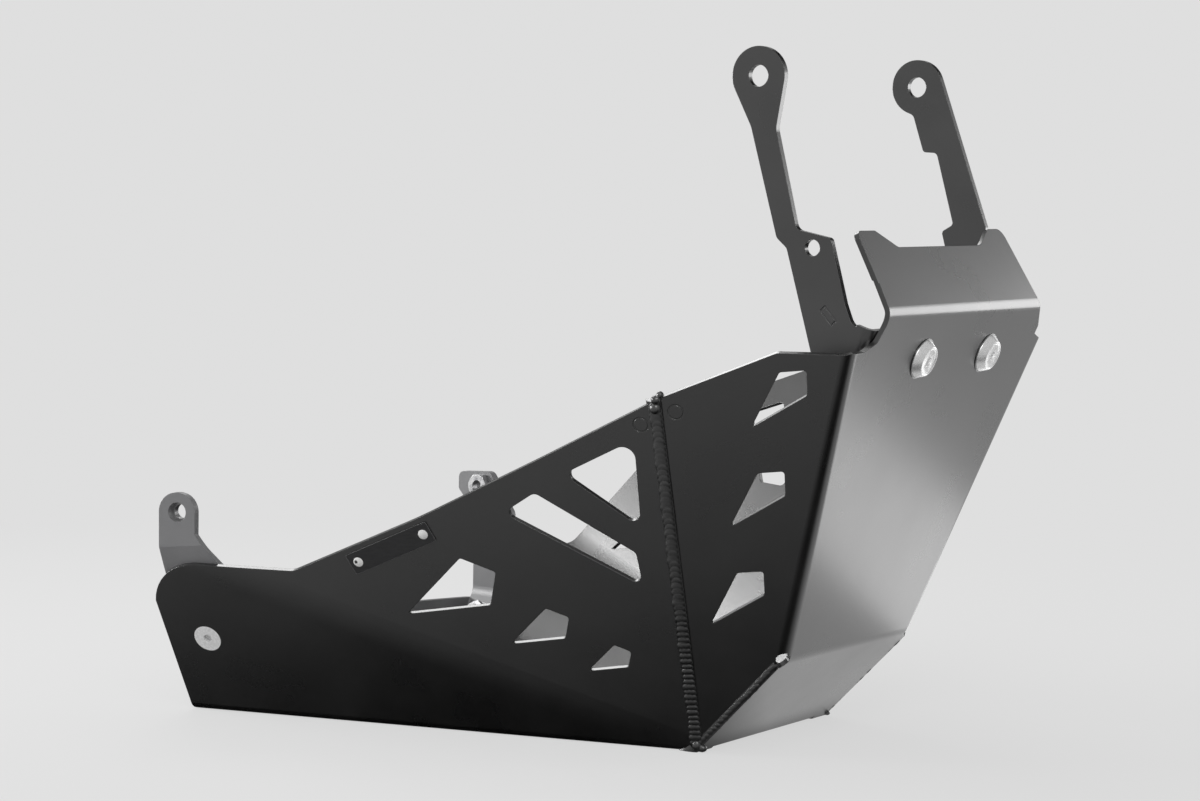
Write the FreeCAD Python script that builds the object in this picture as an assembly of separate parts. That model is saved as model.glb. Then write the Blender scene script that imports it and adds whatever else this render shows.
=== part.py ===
import FreeCAD, Part
import copy
import math
import os

os.makedirs("parts", exist_ok=True)
V = FreeCAD.Vector

# Millimetres. X runs forward, Y to the left and Z up. Everything is drawn from the middle of the
# front floor fold, and the whole assembly is moved at the end so that the middle of its
# footprint is the origin. Half widths are given once and used on both sides.

# Sheet thicknesses
PAN_SHEET = 3.0
ARM_PLATE = 4.0
BRACKET_PLATE = 5.0

# Corners of the folded pan, where the outer faces of the panels meet
FLOOR_FRONT_HALF = 78.0
FLOOR_FOLD_REAR_X = -315.0
FLOOR_REAR_HALF = 137.0
WALL_REAR_X = -321.0
WALL_REAR_HALF = 185.0
WALL_REAR_Z = 90.0
CREASE_REAR_X = -273.1
CREASE_REAR_Z = 93.3
WELD_TOP_X = 11.0
WELD_TOP_HALF = 153.5
WELD_TOP_Z = 206.0
CHIN_TOP_X = 56.0
CHIN_TOP_HALF = 79.0
CHIN_TOP_Z = 57.5
LIP_FOLD_X = 124.0
LIP_FOLD_Z = 257.0
LIP_TOP_X = 103.5
LIP_TOP_Z = 301.0
REAR_EDGE_X = -319.7

# Outer bend radii
FLOOR_WALL_BEND = 7.0
WALL_CREASE_BEND = 150.0
CHEEK_FRONT_BEND = 9.0
FLOOR_CHIN_BEND = 8.0
CHIN_FRONT_BEND = 12.0
LIP_BEND = 9.0

# Top edge of the right wall, in side view (x, z, corner radius)
RIGHT_WALL_TOP = [(-223.4, 94.6, 12.0), (-140.0, 131.0, 400.0), (-60.0, 170.3, 400.0)]
RIGHT_WALL_REAR_TOP_Z = 94.6
RIGHT_WALL_REAR_CORNER = 34.0

# Top edge of the left wall, in side view (x, z, corner radius); it ends short of the rear edge
LEFT_WALL_TOP = [(-236.6, 79.0, 12.0), (-156.0, 173.0, 25.0), (23.2, 234.7, 12.0)]
LEFT_WALL_REAR_X = -309.5
LEFT_WALL_REAR_FOOT_Z = 9.0
LEFT_WALL_REAR_TOP_Z = 79.0
LEFT_WALL_REAR_CORNER = 24.0

# Top edges of the two cheeks, in side view
CHEEK_TOP_Z = 234.7
RIGHT_CHEEK_TOP = [(16.6, 208.8, 4.0), (78.3, 234.7, 6.0)]

# Side edges of the front panel above the cheeks, in front view (y, z, corner radius)
FRONT_RIGHT_EDGE = [(-112.0, 235.4, 6.0), (-98.5, 240.3, 5.0), (-94.2, 250.0, 8.0)]
FRONT_LEFT_EDGE = [(121.0, 236.8, 6.0), (113.5, 243.0, 5.0), (106.2, 256.0, 8.0)]

# Lip outline above its fold, in front view (y, z, corner radius)
LIP_OUTLINE = [
    (-97.8, 301.0, 4.5),
    (-75.5, 301.0, 5.0),
    (-54.5, 291.8, 8.0),
    (53.5, 291.8, 8.0),
    (72.0, 301.0, 5.0),
    (90.5, 301.0, 9.0),
]
LIP_RIGHT_FOOT_Y = -94.6
LIP_LEFT_FOOT_Y = 105.5

# Four-cornered flame cut-outs: tip in side view, length; shape shared in each row
WALL_FLAMES = [(-158.6, 72.7, 65.6), (-99.1, 58.5, 42.0), (-56.1, 45.1, 30.8)]
WALL_FLAME_ANGLE = 28.0
WALL_FLAME_WIDEST = 0.773
WALL_FLAME_HALF = 0.251
CHEEK_FLAMES = [(58.8, 192.7, 46.8), (39.0, 135.7, 46.8), (19.3, 77.6, 46.8)]
CHEEK_FLAME_ANGLE = 48.6
CHEEK_FLAME_WIDEST = 0.766
CHEEK_FLAME_HALF = 0.2125
FLAME_CORNER = 1.8
FLAME_TIP = 0.6
LEFT_FLAMES = [(-200.0, 79.0, 65.6)]

# Large openings of the walls, in side view (x, z, corner radius)
RIGHT_TRIANGLE = [(-48.7, 161.9, 4.5), (-4.5, 183.5, 7.0), (-9.5, 132.8, 4.5)]
RIGHT_SLOT = [(-88.3, 137.2, 4.0), (-67.7, 150.0, 4.5), (-15.0, 118.0, 5.0), (-14.5, 98.7, 3.5)]
LEFT_WINDOW = [(-84.0, 132.5, 3.0), (-104.0, 175.3, 4.0), (-78.0, 183.8, 4.0), (-62.0, 131.2, 4.0)]

# Relief hole at the lower corner of each cheek
RELIEF_RADIUS = 4.2

# Weld beads along the cheek
WALL_WELD_WIDTH = 7.6
CHIN_WELD_WIDTH = 10.0
WELD_HEIGHT = 1.4
LEFT_WELD_TOP_Z = 228.0
RELIEF_GAP = 1.0
WELD_LEAD = 8.0
WELD_END_RADIUS = 5.0

# Small engraved rings on the right side, in side view
WALL_RING = (0.9, 192.3)
CHEEK_RING = (21.0, 200.2)
RING_RADIUS = 4.6
RING_LINE = 0.8
RING_DEPTH = 0.3

# Countersunk screw, nut and washer sizes
THREAD_RADIUS = 4.0
CLEARANCE_RADIUS = 4.7
SCREW_HEAD_RADIUS = 7.7
REAR_HEAD_RADIUS = 8.65
HEAD_RIM = 0.35
SOCKET_FLATS = 5.0
SOCKET_DEPTH = 3.0
SCREW_LENGTH = 25.0
REAR_SCREW_LENGTH = 20.0
SCREW_CHAMFER = 0.8
CUP_RADIUS = 11.3
CUP_TOP_RADIUS = 8.6
CUP_HEIGHT = 5.2
CUP_RIM = 0.9
WASHER_RADIUS = 8.0
WASHER_THICKNESS = 1.6
NUT_FLATS = 13.0
NUT_HEIGHT = 6.5
NUT_CHAMFER = 0.6

# Front screw places, in front view
RIGHT_FRONT_SCREW = (-35.5, 229.4)
LEFT_FRONT_SCREW = (49.5, 229.4)

# Rear screw places, in side view
RIGHT_REAR_SCREW = (-293.4, 47.5)
LEFT_REAR_SCREW = (-293.4, 26.0)

# Upper arms
ARM_OUTER_Y = 101.5
ARM_BEND = 7.0
ARM_HEAD_X = 42.6
ARM_HEAD_Z = 384.8
ARM_HEAD_RADIUS = 16.4
ARM_BORE_RADIUS = 6.1
RIGHT_ARM_HOLE = (78.6, 291.0)
RIGHT_ARM_HOLE_RADIUS = 4.6
ARM_FLANGE_BOTTOM_Z = 206.0
ARM_FLANGE_TOP_Z = 246.5
ARM_FLANGE_CORNER = 8.0
ARM_FLANGE_MARGIN = 17.0
ARM_MARGIN = 1.0

# Small engraved frame on the right arm, in side view: corners round the outside
ARM_FRAME = [(84.0, 256.9, 0.6), (87.3, 260.2, 0.6), (94.7, 251.7, 0.6), (91.4, 248.4, 0.6)]
ARM_FRAME_LINE = 0.9
ARM_FRAME_DEPTH = 0.4

# Foot of both arms, in side view (x, z, corner radius)
ARM_FOOT = [
    (99.4, 261.0, 6.0),
    (104.5, 248.0, 9.0),
    (124.0, ARM_FLANGE_TOP_Z, 0.0),
    (112.0, ARM_FLANGE_BOTTOM_Z, 0.0),
    (92.0, ARM_FLANGE_BOTTOM_Z, 10.0),
    (79.5, 232.5, 8.0),
]

# Arm outlines from the front of the head round to its back, in side view (x, z, corner radius)
RIGHT_ARM_OUTLINE = [
    (54.3, 356.0, 10.0),
    (68.4, 300.8, 5.0),
    (89.6, 296.6, 3.0),
    *ARM_FOOT,
    (62.6, 290.5, 5.0),
    (56.2, 296.0, 5.0),
    (38.6, 357.0, 14.0),
]
LEFT_ARM_OUTLINE = [
    (90.8, 300.4, 3.0),
    (87.0, 291.5, 6.0),
    *ARM_FOOT,
    (61.6, 298.2, 2.0),
    (69.0, 302.6, 2.5),
    (56.9, 345.4, 3.0),
    (48.0, 345.8, 2.5),
    (40.6, 368.0, 4.0),
]

# Rear cross bracket: a tilted strip, a leg on each wall and an upright ear on each leg
BRACKET_REAR_X = -313.9
BRACKET_BEND = 6.4
EAR_BEND = 8.0
STRIP_TOP_MIDDLE_Z = 48.0
STRIP_WIDTH = 30.0
STRIP_TILT = 3.4
EAR_HOLE_RADIUS = 5.8

# Outlines of each leg and ear from the rear top corner to the foot, in side view
RIGHT_EAR_BEND_Z = 104.0
RIGHT_EAR_HOLE = (-296.2, 125.4)
RIGHT_EAR = [
    (-308.2, 137.0, 11.6),
    (-284.6, 137.0, 11.6),
    (-284.6, 112.3, 2.0),
    (-270.0, 94.0, 4.0),
    (-270.0, 62.0, 14.0),
    (-279.0, 29.0, 8.0),
]
RIGHT_LEG_REAR = [(29.0, 0.0), (73.0, 0.0)]
LEFT_EAR_BEND_Z = 43.0
LEFT_EAR_HOLE = (-301.1, 115.7)
LEFT_EAR = [
    (-322.3, 124.4, 4.5),
    (-293.6, 126.2, 6.0),
    (-273.8, 99.7, 6.0),
    (-273.8, 50.0, 20.0),
    (-279.0, 11.0, 8.0),
]
LEFT_LEG_REAR = [(11.0, 0.0), (97.6, 5.0)]
LEFT_EAR_REAR = [(-322.3, 112.7, 3.0)]

# Weld nut on each ear
EAR_NUT_FLATS = 16.0
EAR_NUT_HEIGHT = 4.6
EAR_NUT_BORE = 4.25

# Blank plate on the right wall: lower rear corner in side view
PLATE_LENGTH = 57.9
PLATE_WIDTH = 13.1
PLATE_THICKNESS = 0.8
PLATE_ANGLE = 25.5
PLATE_CORNER = (-184.1, 95.3)
PLATE_CORNER_RADIUS = 1.0
RIVET_INSET = 5.4
RIVET_RADIUS = 3.0
RIVET_SHANK = 1.6
RIVET_HEIGHT = 1.1
RIVET_TAIL = 1.0
RIVET_TAIL_RADIUS = 2.6

# Reach of the tools beyond the part, and a point inside the pan
REACH = 700.0
TOOL_DEPTH = 25.0
BEND_DEPTH = 12.0
OVERLAP = 1.0
INSIDE = V(-100.0, 0.0, 150.0)


def unit(vector):
    """The same direction with length one."""
    return vector * (1.0 / vector.Length)


class Panel:
    """A flat face given by three points, with its normal pointing out of the pan."""

    def __init__(self, a, b, c):
        normal = unit((b - a).cross(c - a))
        if normal.dot(INSIDE - a) > 0:
            normal = normal * -1.0
        self.point = a
        self.normal = normal
        if abs(normal.z) < 1.0:
            self.level = unit(V(0, 0, 1).cross(normal))
            self.up = normal.cross(self.level)

    def side(self, x, z):
        """The point of the face seen at x, z from the side."""
        n = self.normal
        p = self.point
        return V(x, p.y - (n.x * (x - p.x) + n.z * (z - p.z)) / n.y, z)

    def front(self, y, z):
        """The point of the face seen at y, z from the front."""
        n = self.normal
        p = self.point
        return V(p.x - (n.y * (y - p.y) + n.z * (z - p.z)) / n.x, y, z)

    def inset(self, depth):
        """The parallel face at a depth inside this one."""
        inner = copy.copy(self)
        inner.point = self.point - self.normal * depth
        return inner


def wire(corners):
    """A closed outline through (point, radius) corners, each rounded by its radius."""
    arcs = []
    for i, (here, radius) in enumerate(corners):
        before = corners[i - 1][0]
        after = corners[(i + 1) % len(corners)][0]
        if radius == 0:
            arcs.append((here, None, here))
            continue
        back = unit(before - here)
        ahead = unit(after - here)
        half = back.getAngle(ahead) / 2
        bisector = unit(back + ahead)
        centre = here + bisector * (radius / math.sin(half))
        run = radius / math.tan(half)
        arcs.append((here + back * run, centre - bisector * radius, here + ahead * run))
    edges = []
    for i, (start, middle, end) in enumerate(arcs):
        if middle is not None:
            edges.append(Part.Arc(start, middle, end).toShape())
        following = arcs[(i + 1) % len(arcs)][0]
        if end.distanceToPoint(following) > 1e-6:
            edges.append(Part.makeLine(end, following))
    return Part.Wire(edges)


def prism(corners, direction, front, back):
    """The outline pushed along a direction, from front ahead of it to back behind it."""
    face = Part.Face(wire(corners))
    solid = face.extrude(direction * (front + back))
    solid.translate(direction * -back)
    return solid


def side_tool(panel, outline, front=TOOL_DEPTH, back=TOOL_DEPTH):
    """A tool square to a side panel from its outline in side view."""
    corners = [(panel.side(x, z), radius) for x, z, radius in outline]
    return prism(corners, panel.normal, front, back)


def front_tool(panel, outline, front=TOOL_DEPTH, back=TOOL_DEPTH):
    """A tool square to a front panel from its outline in front view."""
    corners = [(panel.front(y, z), radius) for y, z, radius in outline]
    return prism(corners, panel.normal, front, back)


def behind(point, first, second, radius, inset):
    """All the space behind two panels that meet at a point, their edge rounded."""
    a = first.normal
    b = second.normal
    along = unit(a.cross(b))
    both = (a + b) * (1.0 / (1.0 + a.dot(b)))
    corner = point - both * inset
    leg_a = unit(a * a.dot(b) - b)
    leg_b = unit(b * a.dot(b) - a)
    bend = radius - inset
    run = bend * math.tan(a.getAngle(b) / 2)
    start = corner + leg_a * run
    end = corner + leg_b * run
    middle = corner - both * bend + unit(a + b) * bend
    if a.dot(b) > 0:
        far = [leg_b, leg_b - b, leg_a - a, leg_a]
    else:
        far = [leg_b, leg_a + leg_b, leg_a]
    far = [corner + step * REACH for step in far]
    edges = [Part.Arc(start, middle, end).toShape()]
    stops = [end] + far + [start]
    for one, two in zip(stops, stops[1:]):
        edges.append(Part.makeLine(one, two))
    solid = Part.Face(Part.Wire(edges)).extrude(along * (2 * REACH))
    solid.translate(along * -REACH)
    return solid


def common(solids):
    """The space that all the solids share."""
    shared = solids[0]
    for other in solids[1:]:
        shared = shared.common(other)
    return shared


def fused(solids):
    """One solid from several that touch."""
    return solids[0].multiFuse(solids[1:]).removeSplitter()


def hexagon(centre, axis, across, flats, height):
    """A hexagonal prism along an axis."""
    other = axis.cross(across)
    radius = flats / math.sqrt(3)
    corners = []
    for i in range(6):
        turn = math.radians(60 * i)
        corners.append((centre + across * (radius * math.cos(turn)) + other * (radius * math.sin(turn)), 0))
    return prism(corners, axis, height, 0)


def turned(base, axis, profile):
    """A turned solid from (radius, height) points measured along an axis from its base."""
    points = [V(radius, 0, height) for radius, height in profile]
    face = Part.Face(Part.makePolygon(points + [points[0]]))
    solid = face.revolve(V(0, 0, 0), V(0, 0, 1), 360)
    solid.Placement = FreeCAD.Placement(base, FreeCAD.Rotation(V(0, 0, 1), axis))
    return solid


def mirrored(point, side):
    """A point of the left half moved to a side, -1 right or 1 left."""
    return V(point.x, point.y * side, point.z)


# Panels shared by both sides
middle_chin = Panel(V(0, 0, 0), V(0, 1, 0), V(CHIN_TOP_X, 0, CHIN_TOP_Z))
middle_front = Panel(V(CHIN_TOP_X, 0, CHIN_TOP_Z), V(CHIN_TOP_X, 1, CHIN_TOP_Z), V(LIP_FOLD_X, 0, LIP_FOLD_Z))
middle_lip = Panel(V(LIP_FOLD_X, 0, LIP_FOLD_Z), V(LIP_FOLD_X, 1, LIP_FOLD_Z), V(LIP_TOP_X, 0, LIP_TOP_Z))
floor_panel = Panel(V(0, 0, 0), V(0, 1, 0), V(-1, 0, 0))


class Side:
    """The corner points and panels of one side of the pan."""

    def __init__(self, side):
        self.rear_screw = RIGHT_REAR_SCREW if side < 0 else LEFT_REAR_SCREW
        self.floor_front = mirrored(V(0, FLOOR_FRONT_HALF, 0), side)
        floor_rear = mirrored(V(FLOOR_FOLD_REAR_X, FLOOR_REAR_HALF, 0), side)
        rear_top = mirrored(V(WALL_REAR_X, WALL_REAR_HALF, WALL_REAR_Z), side)
        self.weld_top = mirrored(V(WELD_TOP_X, WELD_TOP_HALF, WELD_TOP_Z), side)
        self.chin_top = mirrored(V(CHIN_TOP_X, CHIN_TOP_HALF, CHIN_TOP_Z), side)
        self.lower = Panel(self.floor_front, floor_rear, rear_top)
        crease_rear = self.lower.side(CREASE_REAR_X, CREASE_REAR_Z)
        self.upper = Panel(self.floor_front, crease_rear, self.weld_top)
        self.cheek = Panel(self.floor_front, self.weld_top, self.chin_top)


right = Side(-1)
left = Side(1)


def hull(inset):
    """The closed body behind all the panels, with every fold rounded."""
    parts = [
        behind(V(0, 0, 0), floor_panel, middle_chin, FLOOR_CHIN_BEND, inset),
        behind(V(CHIN_TOP_X, 0, CHIN_TOP_Z), middle_chin, middle_front, CHIN_FRONT_BEND, inset),
        behind(V(LIP_FOLD_X, 0, LIP_FOLD_Z), middle_front, middle_lip, LIP_BEND, inset),
    ]
    for half in (right, left):
        parts.append(behind(half.floor_front, floor_panel, half.lower, FLOOR_WALL_BEND, inset))
        parts.append(behind(half.floor_front, half.lower, half.upper, WALL_CREASE_BEND, inset))
        parts.append(behind(half.chin_top, half.cheek, middle_front, CHEEK_FRONT_BEND, inset))
    return common(parts)


def flame(panel, x, z, length, angle, widest, half):
    """A four-cornered cut-out that widens from its tip, square to its panel."""
    level = panel.level
    if level.x < 0:
        level = level * -1.0
    turn = math.radians(angle)
    ahead = level * math.cos(turn) + panel.up * math.sin(turn)
    across = panel.normal.cross(ahead)
    tip = panel.side(x, z)
    shoulder = tip + ahead * (length * widest)
    corners = [
        (tip, FLAME_TIP),
        (shoulder + across * (length * half), FLAME_CORNER),
        (tip + ahead * length, FLAME_CORNER),
        (shoulder - across * (length * half), FLAME_CORNER),
    ]
    return prism(corners, panel.normal, TOOL_DEPTH, TOOL_DEPTH)


def bead(start, end, outward, width, short):
    """A round weld bead along an edge, its crown standing proud, from below the floor to short of its end."""
    radius = (width * width / 4 + WELD_HEIGHT * WELD_HEIGHT) / (2 * WELD_HEIGHT)
    along = unit(end - start)
    base = start - outward * (radius - WELD_HEIGHT) - along * WELD_LEAD
    return Part.makeCylinder(radius, (end - start).Length + WELD_LEAD - short, base, along)


def ring(panel, x, z):
    """A shallow engraved ring."""
    base = panel.side(x, z) - panel.normal * RING_DEPTH
    outer = Part.makeCylinder(RING_RADIUS, TOOL_DEPTH, base, panel.normal)
    inner = Part.makeCylinder(RING_RADIUS - RING_LINE, TOOL_DEPTH, base, panel.normal)
    return outer.cut(inner)


def cone_seat(point, axis, head_radius, depth):
    """A ninety degree countersink with its clearance hole, from the face inwards."""
    reach = head_radius - CLEARANCE_RADIUS
    profile = [
        (0, TOOL_DEPTH),
        (head_radius, TOOL_DEPTH),
        (head_radius, -HEAD_RIM),
        (CLEARANCE_RADIUS, -HEAD_RIM - reach),
        (CLEARANCE_RADIUS, -depth),
        (0, -depth),
    ]
    return turned(point, axis, profile)


# Skid pan: folded shell, trimmed edges, openings, then welds
outer_hull = hull(0.0)
inner_hull = hull(PAN_SHEET)
stock = Part.makeBox(
    LIP_FOLD_X + PAN_SHEET - REAR_EDGE_X,
    4 * WALL_REAR_HALF,
    LIP_TOP_Z,
    V(REAR_EDGE_X, -2 * WALL_REAR_HALF, 0),
)
shell = outer_hull.common(stock).cut(inner_hull)

TOP = LIP_TOP_Z + TOOL_DEPTH
right_top = [
    (REAR_EDGE_X, RIGHT_WALL_REAR_TOP_Z - 1.1 * RIGHT_WALL_REAR_CORNER, 0),
    (REAR_EDGE_X, RIGHT_WALL_REAR_TOP_Z, RIGHT_WALL_REAR_CORNER),
    *RIGHT_WALL_TOP,
    (WELD_TOP_X, WELD_TOP_Z, 0),
    (WELD_TOP_X + TOOL_DEPTH, TOP, 0),
    (REAR_EDGE_X - TOOL_DEPTH, TOP, 0),
    (REAR_EDGE_X - TOOL_DEPTH, 0, 0),
]
left_top = [
    (LEFT_WALL_REAR_X, LEFT_WALL_REAR_FOOT_Z, 4.0),
    (LEFT_WALL_REAR_X, LEFT_WALL_REAR_TOP_Z, LEFT_WALL_REAR_CORNER),
    *LEFT_WALL_TOP,
    (WELD_TOP_X + 2 * TOOL_DEPTH, CHEEK_TOP_Z, 0),
    (WELD_TOP_X + 2 * TOOL_DEPTH, TOP, 0),
    (REAR_EDGE_X - TOOL_DEPTH, TOP, 0),
    (REAR_EDGE_X - TOOL_DEPTH, LEFT_WALL_REAR_FOOT_Z, 0),
]
right_cheek_top = [
    (WELD_TOP_X, WELD_TOP_Z, 0),
    *RIGHT_CHEEK_TOP,
    (LIP_FOLD_X + TOOL_DEPTH, CHEEK_TOP_Z, 0),
    (LIP_FOLD_X + TOOL_DEPTH, TOP, 0),
    (-TOOL_DEPTH, TOP, 0),
    (-BEND_DEPTH, WELD_TOP_Z + BEND_DEPTH, 0),
]
left_cheek_top = [
    (-BEND_DEPTH, LEFT_WELD_TOP_Z - BEND_DEPTH / 2, 0),
    (LEFT_WALL_TOP[-1][0], CHEEK_TOP_Z, 12.0),
    (LIP_FOLD_X + TOOL_DEPTH, CHEEK_TOP_Z, 0),
    (LIP_FOLD_X + TOOL_DEPTH, TOP, 0),
    (-BEND_DEPTH, TOP, 0),
]
right_front = [
    (-WALL_REAR_HALF, CHEEK_TOP_Z, 0),
    *FRONT_RIGHT_EDGE,
    (LIP_RIGHT_FOOT_Y, LIP_FOLD_Z, 0),
    (LIP_RIGHT_FOOT_Y, LIP_FOLD_Z + BEND_DEPTH, 0),
    (-WALL_REAR_HALF, LIP_FOLD_Z + BEND_DEPTH, 0),
]
left_front = [
    (WALL_REAR_HALF, CHEEK_TOP_Z, 0),
    *FRONT_LEFT_EDGE,
    (LIP_LEFT_FOOT_Y, LIP_FOLD_Z, 0),
    (LIP_LEFT_FOOT_Y, LIP_FOLD_Z + BEND_DEPTH, 0),
    (WALL_REAR_HALF, LIP_FOLD_Z + BEND_DEPTH, 0),
]
lip_blank = [
    (-WALL_REAR_HALF, LIP_FOLD_Z + OVERLAP, 0),
    (WALL_REAR_HALF, LIP_FOLD_Z + OVERLAP, 0),
    (WALL_REAR_HALF, TOP, 0),
    (-WALL_REAR_HALF, TOP, 0),
]
lip_kept = [
    (LIP_RIGHT_FOOT_Y, LIP_FOLD_Z - TOOL_DEPTH, 0),
    (LIP_RIGHT_FOOT_Y, LIP_FOLD_Z, 0),
    *LIP_OUTLINE,
    (LIP_LEFT_FOOT_Y, LIP_FOLD_Z, 0),
    (LIP_LEFT_FOOT_Y, LIP_FOLD_Z - TOOL_DEPTH, 0),
]
lip_tool = front_tool(middle_lip, lip_blank).cut(front_tool(middle_lip, lip_kept, 2 * TOOL_DEPTH, 2 * TOOL_DEPTH))
trims = [
    side_tool(right.upper, right_top),
    side_tool(left.upper, left_top),
    side_tool(right.cheek, right_cheek_top, TOOL_DEPTH, BEND_DEPTH),
    side_tool(left.cheek, left_cheek_top, TOOL_DEPTH, BEND_DEPTH),
    front_tool(middle_front, right_front),
    front_tool(middle_front, left_front),
    lip_tool,
]

openings = [side_tool(right.upper, RIGHT_TRIANGLE), side_tool(right.upper, RIGHT_SLOT)]
openings.append(side_tool(left.upper, LEFT_WINDOW))
for x, z, length in WALL_FLAMES:
    openings.append(flame(right.upper, x, z, length, WALL_FLAME_ANGLE, WALL_FLAME_WIDEST, WALL_FLAME_HALF))
for x, z, length in LEFT_FLAMES:
    openings.append(flame(left.upper, x, z, length, WALL_FLAME_ANGLE, WALL_FLAME_WIDEST, WALL_FLAME_HALF))
for half in (right, left):
    for x, z, length in CHEEK_FLAMES:
        openings.append(flame(half.cheek, x, z, length, CHEEK_FLAME_ANGLE, CHEEK_FLAME_WIDEST, CHEEK_FLAME_HALF))
    relief_axis = unit(half.cheek.normal + middle_front.normal + middle_chin.normal)
    relief_start = half.chin_top - relief_axis * TOOL_DEPTH
    openings.append(Part.makeCylinder(RELIEF_RADIUS, 2 * TOOL_DEPTH, relief_start, relief_axis))
    openings.append(cone_seat(half.lower.side(*half.rear_screw), half.lower.normal, REAR_HEAD_RADIUS, TOOL_DEPTH))
for y, z in (RIGHT_FRONT_SCREW, LEFT_FRONT_SCREW):
    hole_start = middle_front.front(y, z) - middle_front.normal * TOOL_DEPTH
    openings.append(Part.makeCylinder(CLEARANCE_RADIUS, 2 * TOOL_DEPTH, hole_start, middle_front.normal))

plate_level = math.radians(PLATE_ANGLE)
plate_along = right.upper.level * math.cos(plate_level) + right.upper.up * math.sin(plate_level)
plate_up = right.upper.normal.cross(plate_along)
plate_corner = right.upper.side(*PLATE_CORNER)
rivet_points = []
for run in (RIVET_INSET, PLATE_LENGTH - RIVET_INSET):
    rivet_points.append(plate_corner + plate_along * run + plate_up * (PLATE_WIDTH / 2))
for point in rivet_points:
    hole_start = point - right.upper.normal * TOOL_DEPTH
    openings.append(Part.makeCylinder(RIVET_SHANK, 2 * TOOL_DEPTH, hole_start, right.upper.normal))

pan = shell
for tool in trims + openings:
    pan = pan.cut(tool)
pan = pan.cut(ring(right.upper, *WALL_RING))
pan = pan.cut(ring(right.cheek, *CHEEK_RING))

beads = []
for half, weld_end_z in ((right, WELD_TOP_Z), (left, LEFT_WELD_TOP_Z)):
    wall_out = unit(half.upper.normal + half.cheek.normal)
    weld_end = half.floor_front + (half.weld_top - half.floor_front) * (weld_end_z / WELD_TOP_Z)
    beads.append(bead(half.floor_front, weld_end, wall_out, WALL_WELD_WIDTH, 0))
    beads.append(bead(half.floor_front, half.chin_top, half.cheek.normal, CHIN_WELD_WIDTH, RELIEF_RADIUS + RELIEF_GAP))
    beads.append(Part.makeSphere(WELD_END_RADIUS, half.floor_front - wall_out * (WELD_END_RADIUS - WELD_HEIGHT)))
above_floor = Part.makeBox(REACH, REACH, REACH, V(-REACH / 2, -REACH / 2, 0))
before_chin = front_tool(middle_chin, [
    (-WALL_REAR_HALF, -TOOL_DEPTH, 0),
    (WALL_REAR_HALF, -TOOL_DEPTH, 0),
    (WALL_REAR_HALF, CHIN_TOP_Z + TOOL_DEPTH, 0),
    (-WALL_REAR_HALF, CHIN_TOP_Z + TOOL_DEPTH, 0),
], TOOL_DEPTH, 0)
weld = fused(beads).common(above_floor).cut(before_chin).cut(inner_hull)
pan = fused([pan, weld])


def arm(side, outline, screw, hole):
    """An upper arm: an upright plate whose foot is bent to lie behind the front panel."""
    seat = middle_front.inset(PAN_SHEET)
    outer = Panel(V(0, side * ARM_OUTER_Y, 0), V(1, side * ARM_OUTER_Y, 0), V(0, side * ARM_OUTER_Y, 1))
    corner = V(seat.front(0, ARM_FLANGE_TOP_Z).x, side * ARM_OUTER_Y, ARM_FLANGE_TOP_Z)
    bent = behind(corner, seat, outer, ARM_BEND, 0).cut(behind(corner, seat, outer, ARM_BEND, ARM_PLATE))
    head = V(ARM_HEAD_X, 0, ARM_HEAD_Z)
    ahead = V(outline[0][0], 0, outline[0][1])
    behind_head = V(outline[-1][0], 0, outline[-1][1])
    blade = [(V(x, 0, z), radius) for x, z, radius in outline]
    for target in (behind_head, ahead):
        offset = target - head
        reach = math.acos(ARM_HEAD_RADIUS / offset.Length)
        turn = reach if target is ahead else -reach
        touch = FreeCAD.Rotation(V(0, 1, 0), -math.degrees(turn)).multVec(unit(offset)) * ARM_HEAD_RADIUS
        blade.append((head + touch, 0))
    zone = V(0, side, 0)
    width = ARM_OUTER_Y - ARM_PLATE - ARM_BEND
    plate = prism(blade, zone, ARM_OUTER_Y + ARM_MARGIN, -width)
    disc = Part.makeCylinder(ARM_HEAD_RADIUS, ARM_PLATE + ARM_BEND + ARM_MARGIN, head + zone * width, zone)
    y, z = screw
    inner_y = y - side * ARM_FLANGE_MARGIN
    outline_flange = [
        (side * ARM_OUTER_Y, ARM_FLANGE_BOTTOM_Z, 0),
        (inner_y, ARM_FLANGE_BOTTOM_Z, ARM_FLANGE_CORNER),
        (inner_y, ARM_FLANGE_TOP_Z, ARM_FLANGE_CORNER),
        (side * ARM_OUTER_Y, ARM_FLANGE_TOP_Z, 0),
    ]
    flange = front_tool(seat, outline_flange, ARM_MARGIN, ARM_PLATE + ARM_BEND)
    solid = bent.common(fused([plate, disc, flange]))
    bore = Part.makeCylinder(ARM_BORE_RADIUS, REACH, head, zone)
    screw_hole = middle_front.front(y, z) - seat.normal * TOOL_DEPTH
    solid = solid.cut(bore)
    solid = solid.cut(Part.makeCylinder(CLEARANCE_RADIUS, 2 * TOOL_DEPTH, screw_hole, seat.normal))
    if hole:
        x, z, radius = hole
        solid = solid.cut(Part.makeCylinder(radius, REACH, V(x, 0, z), zone))
    return solid.removeSplitter()


def screw(point, axis, across, head_radius, length):
    """A countersunk screw with a hexagon socket, its head flush at the point."""
    cone = head_radius - THREAD_RADIUS
    profile = [
        (0, 0),
        (head_radius, 0),
        (head_radius, -HEAD_RIM),
        (THREAD_RADIUS, -HEAD_RIM - cone),
        (THREAD_RADIUS, SCREW_CHAMFER - length),
        (THREAD_RADIUS - SCREW_CHAMFER, -length),
        (0, -length),
    ]
    body = turned(point, axis, profile)
    socket = hexagon(point - axis * SOCKET_DEPTH, axis, across, SOCKET_FLATS, 2 * SOCKET_DEPTH)
    return body.cut(socket)


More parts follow.
